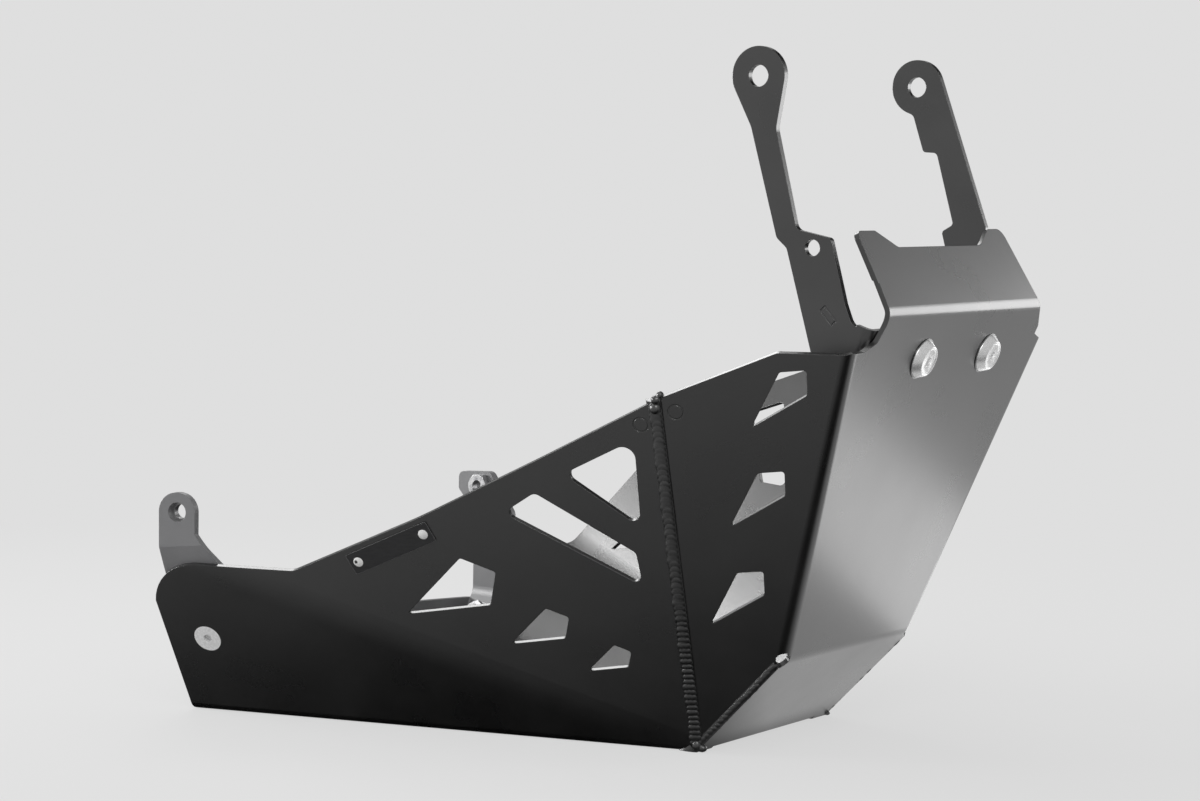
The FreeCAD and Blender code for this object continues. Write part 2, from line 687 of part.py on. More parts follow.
def nut(point, axis, across, flats, height, bore):
    """A hexagon nut with chamfered corners, lying on the point and growing along the axis."""
    corner = flats / math.sqrt(3)
    rim = (corner - flats / 2) * NUT_CHAMFER
    blank = hexagon(point, axis, across, flats, height)
    form = turned(point, axis, [
        (0, 0),
        (flats / 2, 0),
        (corner, rim),
        (corner, height - rim),
        (flats / 2, height),
        (0, height),
    ])
    return blank.common(form).cut(Part.makeCylinder(bore, height, point, axis))


def washer(point, axis):
    """A flat washer lying on the point."""
    disc = Part.makeCylinder(WASHER_RADIUS, WASHER_THICKNESS, point, axis)
    return disc.cut(Part.makeCylinder(CLEARANCE_RADIUS, WASHER_THICKNESS, point, axis))


def cup(point, axis):
    """A cup washer with a conical seat for the screw head, which lies flush in it."""
    seat_radius = SCREW_HEAD_RADIUS + HEAD_RIM
    seat_foot = CUP_HEIGHT - (seat_radius - CLEARANCE_RADIUS)
    profile = [
        (CLEARANCE_RADIUS, 0),
        (CUP_RADIUS, 0),
        (CUP_RADIUS, CUP_RIM),
        (CUP_TOP_RADIUS, CUP_HEIGHT),
        (seat_radius, CUP_HEIGHT),
        (CLEARANCE_RADIUS, seat_foot),
    ]
    return turned(point, axis, profile)


shapes = {"skid_pan": pan}
arm_hole = (RIGHT_ARM_HOLE[0], RIGHT_ARM_HOLE[1], RIGHT_ARM_HOLE_RADIUS)
arm_frame = [(V(x, -ARM_OUTER_Y, z), radius) for x, z, radius in ARM_FRAME]
frame_across = [unit(arm_frame[1][0] - arm_frame[0][0]), unit(arm_frame[2][0] - arm_frame[1][0])]
frame_step = (frame_across[0] + frame_across[1]) * ARM_FRAME_LINE
frame_turn = (frame_across[0] - frame_across[1]) * ARM_FRAME_LINE
arm_frame_inner = [
    (arm_frame[0][0] + frame_step, 0),
    (arm_frame[1][0] - frame_turn, 0),
    (arm_frame[2][0] - frame_step, 0),
    (arm_frame[3][0] + frame_turn, 0),
]
frame_groove = prism(arm_frame, V(0, 1, 0), ARM_FRAME_DEPTH, ARM_FRAME_DEPTH)
frame_groove = frame_groove.cut(prism(arm_frame_inner, V(0, 1, 0), 2 * ARM_FRAME_DEPTH, 2 * ARM_FRAME_DEPTH))
shapes["right_arm"] = arm(-1, RIGHT_ARM_OUTLINE, RIGHT_FRONT_SCREW, arm_hole).cut(frame_groove)
shapes["left_arm"] = arm(1, LEFT_ARM_OUTLINE, LEFT_FRONT_SCREW, None)

# Front fastenings: cup washer and screw outside, washer and nut behind the arm flange
front_out = middle_front.normal
front_up = middle_front.up
for name, (y, z) in (("right", RIGHT_FRONT_SCREW), ("left", LEFT_FRONT_SCREW)):
    face = middle_front.front(y, z)
    head_top = face + front_out * CUP_HEIGHT
    behind_flange = face - front_out * (PAN_SHEET + ARM_PLATE)
    behind_washer = behind_flange - front_out * WASHER_THICKNESS
    shapes[f"front_cup_washer_{name}"] = cup(face, front_out)
    shapes[f"front_screw_{name}"] = screw(head_top, front_out, front_up, SCREW_HEAD_RADIUS, SCREW_LENGTH)
    shapes[f"front_washer_{name}"] = washer(behind_flange, front_out * -1.0)
    shapes[f"front_nut_{name}"] = nut(
        behind_washer, front_out * -1.0, front_up, NUT_FLATS, NUT_HEIGHT, THREAD_RADIUS
    )


def bracket():
    """The rear bracket: a cross strip, a leg on each wall and an ear at the top of each leg."""
    rear = Panel(V(BRACKET_REAR_X, 0, 0), V(BRACKET_REAR_X, 1, 0), V(BRACKET_REAR_X, 0, 1))
    space = []
    core = []
    for half in (right, left):
        wall = half.lower.inset(PAN_SHEET)
        meet = wall.side(BRACKET_REAR_X, STRIP_TOP_MIDDLE_Z)
        space.append(behind(meet, wall, rear, BRACKET_BEND, 0))
        core.append(behind(meet, wall, rear, BRACKET_BEND, BRACKET_PLATE))
    drop = WALL_REAR_HALF * math.tan(math.radians(STRIP_TILT))
    strip = [
        (-WALL_REAR_HALF, STRIP_TOP_MIDDLE_Z + drop, 0),
        (WALL_REAR_HALF, STRIP_TOP_MIDDLE_Z - drop, 0),
        (WALL_REAR_HALF, STRIP_TOP_MIDDLE_Z - drop - STRIP_WIDTH, 0),
        (-WALL_REAR_HALF, STRIP_TOP_MIDDLE_Z + drop - STRIP_WIDTH, 0),
    ]
    band = front_tool(rear, strip, 0, BRACKET_PLATE + 2 * BRACKET_BEND)
    solids = [common(space).cut(common(core)).common(band)]
    leg_rear_x = BRACKET_REAR_X + BRACKET_BEND
    sides = (
        (right, "right", RIGHT_EAR_BEND_Z, RIGHT_EAR, RIGHT_LEG_REAR, [], RIGHT_EAR_HOLE),
        (left, "left", LEFT_EAR_BEND_Z, LEFT_EAR, LEFT_LEG_REAR, LEFT_EAR_REAR, LEFT_EAR_HOLE),
    )
    for half, name, bend_z, ear, leg_rear, ear_rear, hole in sides:
        wall = half.lower.inset(PAN_SHEET)
        level_out = unit(V(wall.normal.x, wall.normal.y, 0))
        bend_point = wall.side(BRACKET_REAR_X, bend_z)
        down = wall.up * (-1.0 if wall.up.z > 0 else 1.0)
        top = bend_point + V(0, 0, 1) * WALL_REAR_HALF
        foot_point = bend_point + down * WALL_REAR_HALF
        joint = (wall.normal + level_out) * (1.0 / (1.0 + wall.normal.dot(level_out)))
        section = [
            (foot_point, 0),
            (bend_point, EAR_BEND),
            (top, 0),
            (top - level_out * BRACKET_PLATE, 0),
            (bend_point - joint * BRACKET_PLATE, EAR_BEND + BRACKET_PLATE),
            (foot_point - wall.normal * BRACKET_PLATE, 0),
        ]
        strap = prism(section, unit(wall.level), WALL_REAR_HALF, WALL_REAR_HALF)
        outline = ear + [(leg_rear_x, z, radius) for z, radius in leg_rear] + ear_rear
        ear_plane = Panel(bend_point, bend_point + wall.level, top)
        solid = strap.common(side_tool(ear_plane, outline, 3 * TOOL_DEPTH, 3 * TOOL_DEPTH))
        bolt = ear_plane.side(*hole)
        bolt_start = bolt - level_out * TOOL_DEPTH
        solid = solid.cut(Part.makeCylinder(EAR_HOLE_RADIUS, 2 * TOOL_DEPTH, bolt_start, level_out))
        solids.append(solid)
        nut_seat = bolt - level_out * BRACKET_PLATE
        nut_across = V(0, 0, 1) if half is right else unit(wall.level)
        shapes[f"ear_nut_{name}"] = nut(
            nut_seat, level_out * -1.0, nut_across, EAR_NUT_FLATS, EAR_NUT_HEIGHT, EAR_NUT_BORE
        )
    solid = fused(solids)
    for half in (right, left):
        point = half.lower.side(*half.rear_screw)
        solid = solid.cut(cone_seat(point, half.lower.normal, REAR_HEAD_RADIUS, TOOL_DEPTH))
    return solid.common(inner_hull)


shapes["rear_bracket"] = bracket()

# Rear fastenings through the walls and the bracket legs
for name, half in (("right", right), ("left", left)):
    axis = half.lower.normal
    face = half.lower.side(*half.rear_screw)
    behind_leg = face - axis * (PAN_SHEET + BRACKET_PLATE)
    behind_washer = behind_leg - axis * WASHER_THICKNESS
    shapes[f"rear_screw_{name}"] = screw(face, axis, half.lower.up, REAR_HEAD_RADIUS, REAR_SCREW_LENGTH)
    shapes[f"rear_washer_{name}"] = washer(behind_leg, axis * -1.0)
    shapes[f"rear_nut_{name}"] = nut(
        behind_washer, axis * -1.0, half.lower.up, NUT_FLATS, NUT_HEIGHT, THREAD_RADIUS
    )

# Blank plate and its rivets
plate_corners = [
    (plate_corner, PLATE_CORNER_RADIUS),
    (plate_corner + plate_along * PLATE_LENGTH, PLATE_CORNER_RADIUS),
    (plate_corner + plate_along * PLATE_LENGTH + plate_up * PLATE_WIDTH, PLATE_CORNER_RADIUS),
    (plate_corner + plate_up * PLATE_WIDTH, PLATE_CORNER_RADIUS),
]
blank_plate = prism(plate_corners, right.upper.normal, PLATE_THICKNESS, 0)
rivets = []
for point in rivet_points:
    axis = right.upper.normal
    blank_plate = blank_plate.cut(Part.makeCylinder(RIVET_SHANK, PLATE_THICKNESS, point, axis))
    head_base = point + axis * PLATE_THICKNESS
    crown = (RIVET_RADIUS * RIVET_RADIUS + RIVET_HEIGHT * RIVET_HEIGHT) / (2 * RIVET_HEIGHT)
    dome = Part.makeSphere(crown, head_base + axis * (RIVET_HEIGHT - crown))
    head = dome.common(Part.makeCylinder(RIVET_RADIUS, 2 * RIVET_HEIGHT, head_base, axis))
    tail_base = point - axis * (PAN_SHEET + RIVET_TAIL)
    grip = PAN_SHEET + RIVET_TAIL + PLATE_THICKNESS + RIVET_HEIGHT / 2
    shank = Part.makeCylinder(RIVET_SHANK, grip, tail_base, axis)
    tail = Part.makeCylinder(RIVET_TAIL_RADIUS, RIVET_TAIL, tail_base, axis)
    rivets.append(fused([head, shank, tail]))
shapes["blank_plate"] = blank_plate
shapes["plate_rivets"] = Part.makeCompound(rivets)

# The middle of the footprint becomes the origin
box = Part.makeCompound(list(shapes.values())).optimalBoundingBox()
shift = V(-(box.XMin + box.XMax) / 2, -(box.YMin + box.YMax) / 2, -box.ZMin)
for name, shape in shapes.items():
    shape.translate(shift)
    shape.exportStep(f"parts/{name}.step")
print("shift", shift)
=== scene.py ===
import math

import bpy
from mathutils import Matrix, Vector


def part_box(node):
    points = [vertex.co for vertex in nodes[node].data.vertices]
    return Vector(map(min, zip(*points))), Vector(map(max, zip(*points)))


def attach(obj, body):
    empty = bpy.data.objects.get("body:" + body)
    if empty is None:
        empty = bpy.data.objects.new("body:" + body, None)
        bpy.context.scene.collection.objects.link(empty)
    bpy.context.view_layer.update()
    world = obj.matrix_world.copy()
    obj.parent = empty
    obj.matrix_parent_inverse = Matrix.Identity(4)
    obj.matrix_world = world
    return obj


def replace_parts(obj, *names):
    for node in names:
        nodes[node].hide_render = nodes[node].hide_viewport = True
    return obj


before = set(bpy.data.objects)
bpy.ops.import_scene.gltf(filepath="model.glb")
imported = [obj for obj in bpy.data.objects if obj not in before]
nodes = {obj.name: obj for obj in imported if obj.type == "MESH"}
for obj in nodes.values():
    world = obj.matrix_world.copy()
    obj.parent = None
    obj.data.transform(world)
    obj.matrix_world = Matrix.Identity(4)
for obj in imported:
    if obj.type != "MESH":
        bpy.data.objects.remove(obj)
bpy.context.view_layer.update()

# Metres. X runs forward, Y to the left and Z up, as in the solids. Points of the folded pan are
# given from the middle of its front floor fold, which stands here.
FOLD = Vector((0.09995, 0.00326, 0.0))
MM = 0.001

# Outward directions of the pan's faces, the walls' and cheek's as on the left side
FRONT_OUT = Vector((0.9465, 0.0, -0.3226)).normalized()
WALL_LOW_OUT = Vector((0.1639, 0.8749, -0.4557)).normalized()
WALL_OUT = Vector((0.2152, 0.9132, -0.3462))
CHEEK_OUT = Vector((0.3335, 0.8793, -0.3401))
SIDES = ((-1.0, "right"), (1.0, "left"))

# Strengths of the surroundings, linear: as the camera sees them, and as they light the part
BACKGROUND = 0.737
ROOM = 0.5
# The middle of the part, which the dark cards face
MIDDLE = (0.0, 0.0, 0.15)


def pan_point(x, y, z):
    """A point of the pan given in millimetres from the middle of the front floor fold."""
    return FOLD + Vector((x, y, z)) * MM


# ---------------------------------------------------------------- camera


def place_camera():
    """The camera that was fitted to the photograph's corner points."""
    azimuth, elevation, roll = (math.radians(angle) for angle in (31.481, 4.105, 1.079))
    level = Vector((math.cos(azimuth), math.sin(azimuth), 0.0))
    ahead = Vector((
        -math.sin(azimuth) * math.cos(elevation),
        math.cos(azimuth) * math.cos(elevation),
        -math.sin(elevation),
    ))
    upright = level.cross(ahead)
    right = level * math.cos(roll) + upright * math.sin(roll)
    up = upright * math.cos(roll) - level * math.sin(roll)
    lens = bpy.data.cameras.new("camera")
    lens.sensor_fit = "HORIZONTAL"
    lens.sensor_width = 36.0
    lens.lens = 95.55
    lens.clip_start = 0.05
    lens.clip_end = 60.0
    camera = bpy.data.objects.new("camera", lens)
    bpy.context.scene.collection.objects.link(camera)
    turn = Matrix((right, up, -ahead)).transposed().to_4x4()
    camera.matrix_world = Matrix.Translation((0.99155, -1.64524, 0.3303)) @ turn
    bpy.context.scene.camera = camera


# ---------------------------------------------------------------- finishes


class Finish:
    """A finish built from nodes, its patterns laid on the object's own coordinates."""

    def __init__(self, name, colour, roughness, metallic=0.0):
        self.material = bpy.data.materials.new(name)
        self.material.use_nodes = True
        self.tree = self.material.node_tree
        self.shader = self.tree.nodes["Principled BSDF"]
        self.shader.inputs["Base Color"].default_value = (*colour, 1.0)
        self.shader.inputs["Roughness"].default_value = roughness
        self.shader.inputs["Metallic"].default_value = metallic
        self.place = self.add("ShaderNodeTexCoord").outputs["Object"]

    def add(self, kind, **settings):
        node = self.tree.nodes.new(kind)
        for name, value in settings.items():
            setattr(node, name, value)
        return node

    def link(self, output, node, socket):
        self.tree.links.new(output, node.inputs[socket])

    def mapped(self, centre=(0, 0, 0), turn=(0, 0, 0), stretch=(1, 1, 1)):
        """Coordinates from a centre, turned so that a pattern lies along the piece."""
        node = self.add("ShaderNodeMapping", vector_type="TEXTURE")
        self.link(self.place, node, "Vector")
        node.inputs["Location"].default_value = centre
        node.inputs["Rotation"].default_value = turn
        node.inputs["Scale"].default_value = stretch
        return node.outputs["Vector"]

    def noise(self, scale, detail=3.0, at=None, roughness=0.5):
        node = self.add("ShaderNodeTexNoise")
        self.link(at or self.place, node, "Vector")
        node.inputs["Scale"].default_value = scale
        node.inputs["Detail"].default_value = detail
        node.inputs["Roughness"].default_value = roughness
        return node.outputs["Fac"]

    def between(self, value, low, high, to_low=0.0, to_high=1.0):
        """A value from low to high carried over to another range, and held at its ends."""
        node = self.add("ShaderNodeMapRange")
        self.link(value, node, "Value")
        node.inputs["From Min"].default_value = low
        node.inputs["From Max"].default_value = high
        node.inputs["To Min"].default_value = to_low
        node.inputs["To Max"].default_value = to_high
        return node.outputs["Result"]

    def combine(self, first, second, operation="ADD"):
        """Two values added, or brought together by another operation."""
        node = self.add("ShaderNodeMath", operation=operation)
        self.link(first, node, 0)
        if isinstance(second, float):
            node.inputs[1].default_value = second
        else:
            self.link(second, node, 1)
        return node.outputs["Value"]

    def blend(self, amount, first, second):
        """Between two colours, each a colour or an output."""
        node = self.add("ShaderNodeMix", data_type="RGBA")
        self.link(amount, node, "Factor")
        for value, socket in ((first, 6), (second, 7)):
            if isinstance(value, tuple):
                node.inputs[socket].default_value = (*value, 1.0)
            else:
                self.link(value, node, socket)
        return node.outputs[2]

    def edge(self, radius):
        """Rounded edges: the softened normal, and how far each point lies on an edge."""
        soft = self.add("ShaderNodeBevel", samples=6)
        soft.inputs["Radius"].default_value = radius
        flat = self.add("ShaderNodeNewGeometry").outputs["Normal"]
        match = self.add("ShaderNodeVectorMath", operation="DOT_PRODUCT")
        self.link(soft.outputs["Normal"], match, 0)
        self.link(flat, match, 1)
        return soft.outputs["Normal"], self.between(match.outputs["Value"], 0.995, 0.8)

    def bump(self, height, distance, strength=1.0, normal=None):
        node = self.add("ShaderNodeBump")
        self.link(height, node, "Height")
        node.inputs["Distance"].default_value = distance
        node.inputs["Strength"].default_value = strength
        if normal is not None:
            self.link(normal, node, "Normal")
        return node.outputs["Normal"]

    def split(self):
        """How far forward and how far left each point of the object lies."""
        node = self.add("ShaderNodeSeparateXYZ")
        self.link(self.place, node, 0)
        return node.outputs["X"], node.outputs["Y"]

    def glow(self, strength):
        """Light given off, of one strength or of a strength that an output sets."""
        node = self.add("ShaderNodeEmission")
        if isinstance(strength, float):
            node.inputs["Color"].default_value = (strength, strength, strength, 1.0)
        else:
            self.link(strength, node, "Strength")
        return node.outputs[0]

    def matt(self, albedo):
        node = self.add("ShaderNodeBsdfDiffuse")
        node.inputs["Color"].default_value = (albedo, albedo, albedo, 1.0)
        return node.outputs[0]

    def mixed(self, amount, first, second):
        """Between two shaders."""
        node = self.add("ShaderNodeMixShader")
        for socket, output in enumerate((amount, first, second)):
            self.link(output, node, socket)
        return node.outputs[0]

    def both(self, first, second):
        """Two shaders added up."""
        node = self.add("ShaderNodeAddShader")
        self.link(first, node, 0)
        self.link(second, node, 1)
        return node.outputs[0]

    def colour(self, output):
        self.link(output, self.shader, "Base Color")

    def rough(self, output):
        self.link(output, self.shader, "Roughness")

    def normal(self, output):
        self.link(output, self.shader, "Normal")


def grey(value, tint=0.0):
    """A plain grey, with a little more or less blue."""
    return (value, value, value + tint)


def coat(name, dark, light, wear_and_edge_highlight, roughness, gloss):
    """Baked satin coat on steel: fine grain, faint flow marks, and edges paler partly from rubbing and partly as a
    painted edge highlight.
    """
    finish = Finish(name, dark, roughness)
    finish.shader.inputs["Specular IOR Level"].default_value = gloss
    finish.shader.inputs["Coat Weight"].default_value = gloss * 0.8
    finish.shader.inputs["Coat Roughness"].default_value = roughness - 0.08
    flow = finish.noise(22.0, 4.0)
    grain = finish.noise(2600.0, 2.0)
    peel = finish.noise(420.0, 2.0)
    soft, edge = finish.edge(0.0004)
    body = finish.blend(finish.between(flow, 0.35, 0.7), dark, light)
    # Paler edges broken by noise: partly rubbed wear, partly a painted highlight where the edges catch the light.
    scuff_and_edge_highlight = finish.combine(edge, finish.between(finish.noise(160.0, 3.0), 0.3, 0.75), "MULTIPLY")
    finish.colour(finish.blend(scuff_and_edge_highlight, body, wear_and_edge_highlight))
    finish.rough(finish.between(flow, 0.3, 0.75, roughness - 0.03, roughness + 0.04))
    relief = finish.bump(grain, 0.00002, 0.5, soft)
    relief = finish.bump(peel, 0.00004, 0.35, relief)
    finish.normal(relief)
    finish.link(relief, finish.shader, "Coat Normal")
    return finish


def turned_steel(name, centre, axis, pale, metallic):
    """Machined steel with fine turning lines round an axis, which draw the light out into streaks."""
    finish = Finish(name, grey(pale), 0.26, metallic)
    turn = Vector((0, 0, 1)).rotation_difference(axis).to_euler()
    place = finish.mapped(centre, tuple(turn))
    rings = finish.add("ShaderNodeTexWave", wave_type="RINGS", rings_direction="Z", wave_profile="SIN")
    finish.link(place, rings, "Vector")
    rings.inputs["Scale"].default_value = 900.0
    rings.inputs["Distortion"].default_value = 0.6
    rings.inputs["Detail"].default_value = 1.0
    wear = finish.noise(700.0, 3.0)
    finish.colour(finish.blend(finish.between(wear, 0.35, 0.7), grey(pale - 0.04), grey(pale + 0.03)))
    finish.rough(finish.between(wear, 0.3, 0.75, 0.24, 0.3))
    around = finish.add("ShaderNodeVectorMath", operation="SUBTRACT")
    finish.link(finish.place, around, 0)
    around.inputs[1].default_value = centre
    tangent = finish.add("ShaderNodeVectorMath", operation="CROSS_PRODUCT")
    tangent.inputs[0].default_value = axis
    finish.link(around.outputs["Vector"], tangent, 1)
    level = finish.add("ShaderNodeVectorMath", operation="NORMALIZE")
    finish.link(tangent.outputs["Vector"], level, 0)
    finish.link(level.outputs["Vector"], finish.shader, "Tangent")
    finish.shader.inputs["Anisotropic"].default_value = 0.55
    soft, _ = finish.edge(0.0002)
    finish.normal(finish.bump(rings.outputs["Fac"], 0.000003, 0.4, soft))
    return finish


def zinc_steel(name):
    """Zinc-plated steel, dull grey with a soft crystalline mottling."""
    finish = Finish(name, grey(0.4, 0.01), 0.38, 1.0)
    cells = finish.add("ShaderNodeTexVoronoi", feature="F1")
    finish.link(finish.place, cells, "Vector")
    cells.inputs["Scale"].default_value = 900.0
    mottle = finish.noise(240.0, 4.0)
    finish.colour(finish.blend(finish.between(mottle, 0.3, 0.7), grey(0.34, 0.01), grey(0.48)))
    finish.rough(finish.between(mottle, 0.3, 0.7, 0.3, 0.48))
    soft, _ = finish.edge(0.0003)
    finish.normal(finish.bump(cells.outputs["Distance"], 0.00002, 0.4, soft))
    return finish


def plate_black(name):
    """Thin plate with a black face, brushed along its length, pale on its cut edges, partly bare metal and partly a
    painted edge highlight.
    """
    finish = Finish(name, grey(0.02), 0.4)
    place = finish.mapped(stretch=(0.03, 0.001, 0.001))
    brushed = finish.noise(1.0, 3.0, place)
    soft, edge = finish.edge(0.0004)
    body = finish.blend(finish.between(brushed, 0.3, 0.7), grey(0.016, 0.001), grey(0.026, 0.001))
    # The cut edges are painted pale grey: partly bare metal, partly a painted highlight.
    finish.colour(finish.blend(edge, body, grey(0.3)))
    finish.rough(finish.between(brushed, 0.3, 0.7, 0.36, 0.46))
    finish.normal(finish.bump(brushed, 0.00001, 0.4, soft))
    return finish


def rivet_steel(name, centres):
    """Bright rivet heads with a fine grain, and the small hollow their pin leaves, sunk by a bump and with its shade
    painted near black.
    """
    finish = Finish(name, grey(0.8, -0.01), 0.3)
    grain = finish.noise(900.0, 3.0)
    near = None
    for centre in centres:
        gap = finish.add("ShaderNodeVectorMath", operation="DISTANCE")
        finish.link(finish.place, gap, 0)
        gap.inputs[1].default_value = centre
        near = gap.outputs["Value"] if near is None else finish.combine(near, gap.outputs["Value"], "MINIMUM")
    pit_relief_and_shade = finish.between(near, 0.0013, 0.0009)
    body = finish.blend(finish.between(grain, 0.3, 0.7), grey(0.76, -0.01), grey(0.84, -0.01))
    # Painted shade: the colour turns near black in the pin's hollow, where shade would fall.
    finish.colour(finish.blend(pit_relief_and_shade, body, grey(0.03)))
    finish.rough(finish.between(grain, 0.3, 0.7, 0.26, 0.4))
    relief = finish.bump(grain, 0.00003, 0.4)
    finish.normal(finish.bump(finish.combine(pit_relief_and_shade, -1.0, "MULTIPLY"), 0.0005, 1.0, relief))
    return finish


def paint(piece, finish):
    piece.data.materials.clear()
    piece.data.materials.append(finish.material)


# ---------------------------------------------------------------- pieces


def deselect():
    if bpy.context.mode != "OBJECT":
        bpy.ops.object.mode_set(mode="OBJECT")
    bpy.ops.object.select_all(action="DESELECT")


def lone(piece):
    deselect()
    piece.select_set(True)
    bpy.context.view_layer.objects.active = piece


def joined(pieces):
    """One piece out of several."""
    deselect()
    for piece in pieces:
        piece.select_set(True)
    bpy.context.view_layer.objects.active = pieces[0]
    bpy.ops.object.join()
    return bpy.context.object


def scaled(piece, scale):
    """Scales the mesh of a piece about its origin."""
    lone(piece)
    bpy.ops.object.mode_set(mode="EDIT")
    bpy.ops.mesh.select_all(action="SELECT")
    bpy.ops.transform.resize(value=scale, center_override=(0.0, 0.0, 0.0))
    bpy.ops.object.mode_set(mode="OBJECT")
    return piece


def finished(piece, name, finish):
    """Names a piece, sets its place into its mesh and fixes it to the body."""
    lone(piece)
    bpy.ops.object.transform_apply(location=True, rotation=True, scale=True)
    bpy.ops.object.shade_smooth_by_angle(angle=math.radians(50))
    piece.name = name
    piece.data.name = name
    paint(piece, finish)
    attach(piece, "root")
    return piece


def lathe(steps, sides=96):
    """A round solid grown up its axis from a filled circle, through (radius, height) steps in millimetres."""
    deselect()
    radius, height = steps[0]
    bpy.ops.mesh.primitive_circle_add(vertices=sides, radius=radius * MM, fill_type="NGON")
    piece = bpy.context.object
    bpy.ops.object.mode_set(mode="EDIT")
    bpy.ops.mesh.select_all(action="SELECT")
    bpy.ops.transform.translate(value=(0.0, 0.0, height * MM))
    for next_radius, next_height in steps[1:]:
        rise = (next_height - height) * MM
        bpy.ops.mesh.extrude_region_move(TRANSFORM_OT_translate={"value": (0.0, 0.0, rise)})
        scale = next_radius / radius
        bpy.ops.transform.resize(value=(scale, scale, 1.0), center_override=(0.0, 0.0, next_height * MM))
        radius, height = next_radius, next_height
    bpy.ops.mesh.select_all(action="SELECT")
    bpy.ops.mesh.normals_make_consistent(inside=False)
    bpy.ops.object.mode_set(mode="OBJECT")
    return piece


def eased(piece, width):
    """Sharp edges of a turned piece broken by a fine bevel."""
    lone(piece)
    ease = piece.modifiers.new("ease", "BEVEL")
    ease.width = width
    ease.segments = 2
    ease.limit_method = "ANGLE"
    ease.angle_limit = math.radians(25)
    bpy.ops.object.modifier_apply(modifier="ease")
    return piece


def set_on(piece, base, across, axis):
    """Turns a piece from the upright onto an axis at its base."""
    other = axis.cross(across)
    piece.matrix_world = Matrix.Translation(base) @ Matrix((across, other, axis)).transposed().to_4x4()


def front_fastening(name, steel, coat_finish):
    """Cup washer, countersunk screw with a hexagon socket, and a thin black ring round the washer's base."""
    axis = FRONT_OUT
    up = Vector((-axis.z, 0.0, axis.x))
    leftward = {"right": -35.5, "left": 49.5}[name]
    base = pan_point(114.59, leftward, 229.4)

    cup = eased(lathe([(11.3, 0.02), (11.3, 0.9), (8.6, 5.2), (8.05, 5.2), (4.9, 2.05)]), 0.00018)
    set_on(cup, base, up, axis)
    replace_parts(finished(cup, f"cup_washer_{name}", steel), f"front_cup_washer_{name}")

    screw = lathe([(3.2, -25.0), (4.0, -24.2), (4.0, -4.05), (7.7, -0.35), (7.7, 0.0)])
    deselect()
    # A hexagon 5 mm across its flats, 3 mm deep
    bpy.ops.mesh.primitive_cylinder_add(vertices=6, radius=0.002887, depth=0.006)
    key = bpy.context.object
    lone(screw)
    socket = screw.modifiers.new("socket", "BOOLEAN")
    socket.operation = "DIFFERENCE"
    socket.object = key
    bpy.ops.object.modifier_apply(modifier="socket")
    bpy.data.objects.remove(key)
    eased(screw, 0.00022)
    set_on(screw, base + axis * 0.0049, up, axis)
    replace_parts(finished(screw, f"socket_screw_{name}", steel), f"front_screw_{name}")

    # A thin black ring round the washer's base.
    deselect()
    bpy.ops.mesh.primitive_torus_add(major_segments=96, minor_segments=10, major_radius=0.0115, minor_radius=0.00055)
    base_ring = scaled(bpy.context.object, (1.0, 1.0, 0.75))
    set_on(base_ring, base + axis * 0.0002, up, axis)
    finished(base_ring, f"washer_base_ring_{name}", coat_finish)


def weld_drop(width, length, height):
    """One drop of a weld: a rounded scale, steep at its front and thin at its back."""
    deselect()
    bpy.ops.mesh.primitive_uv_sphere_add(segments=14, ring_count=8, radius=1.0)
    drop = bpy.context.object
    bpy.ops.object.mode_set(mode="EDIT")
    bpy.ops.mesh.select_all(action="DESELECT")
    bpy.ops.object.mode_set(mode="OBJECT")
    for vertex in drop.data.vertices:
        vertex.select = vertex.co.x < -0.2
    bpy.ops.object.mode_set(mode="EDIT")
    bpy.ops.transform.resize(value=(1.5, 0.8, 0.6), center_override=(0.0, 0.0, 0.0))
    bpy.ops.object.mode_set(mode="OBJECT")
    return scaled(drop, (length, width, height))


def weld_row(name, start, end, out, width, height, pitch, finish, spread, lift):
    """A row of overlapping drops laid along a seam, drawn out long except where the weld begins."""
    along = (end - start).normalized()
    across = out.cross(along).normalized()
    turn = Matrix((along, across, out)).transposed().to_4x4()
    steps = int((end - start).length / pitch)
    first = weld_drop(width / 2, pitch, height)
    drops = []
    for i in range(steps):
        drop = first.copy()
        drop.data = first.data.copy()
        bpy.context.scene.collection.objects.link(drop)
        wander = math.sin(i * 2.39) * 0.5 + math.sin(i * 0.71 + 1.0) * 0.5
        swell = 1.0 + spread * wander
        lean = Matrix.Rotation(-0.12 + 0.06 * wander, 4, "Y")
        place = start + along * (pitch * (i + 0.5)) + across * (0.0003 * wander) + out * lift
        # The pace grows over the second quarter of the seam
        pace = min(1.0, max(0.0, (i / steps - 0.25) * 4.0))
        drawn = 1.0 + 0.8 * pace + 0.2 * wander
        drop.matrix_world = Matrix.Translation(place) @ turn @ lean @ Matrix.Diagonal((drawn, swell, swell, 1.0))
        drops.append(drop)
    bpy.data.objects.remove(first)
    return finished(joined(drops), name, finish)


def weld_knob(name, places, finish):
    """Round lumps where a weld starts or ends, each (place, radius, squash), grown into one."""
    lumps = []
    for place, radius, squash in places:
        deselect()
        bpy.ops.mesh.primitive_ico_sphere_add(subdivisions=3, radius=radius, location=place)
        lump = bpy.context.object
        lump.scale = squash
        lumps.append(lump)
    knob = joined(lumps)
    bpy.ops.object.transform_apply(location=True, rotation=True, scale=True)
    grow = knob.modifiers.new("grow", "REMESH")
    grow.mode = "VOXEL"
    grow.voxel_size = 0.0004
    even = knob.modifiers.new("even", "SMOOTH")
    even.iterations = 4
    bpy.ops.object.modifier_apply(modifier="grow")
    bpy.ops.object.modifier_apply(modifier="even")
    return finished(knob, name, finish)


